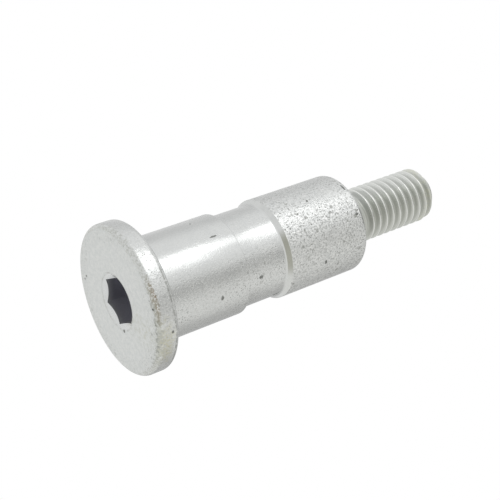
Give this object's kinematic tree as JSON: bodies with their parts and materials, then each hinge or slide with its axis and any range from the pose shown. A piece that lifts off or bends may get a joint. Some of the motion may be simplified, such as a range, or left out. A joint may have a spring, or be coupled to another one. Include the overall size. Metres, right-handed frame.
{
  "type": "shoulder bolt",
  "caption": "Low-head shoulder bolt: round head with a hexagon socket, smooth pivot shoulder with a shallow groove, relieved thread end.",
  "frame": {"origin": "centre of the head's flat outer face, on which the bolt stands", "axes": "+Z along the bolt's axis from the head to the thread's tip; two corners of the hexagon socket lie on the X axis"},
  "size_m": [0.0203, 0.0202, 0.0517],
  "materials": {
    "zinc_steel": "bright zinc plating over turned steel, with fine dark pits and a frosted outer face on the head"
  },
  "bodies": {
    "root": {"shoulder_bolt": "zinc_steel"}
  },
  "joints": []
}
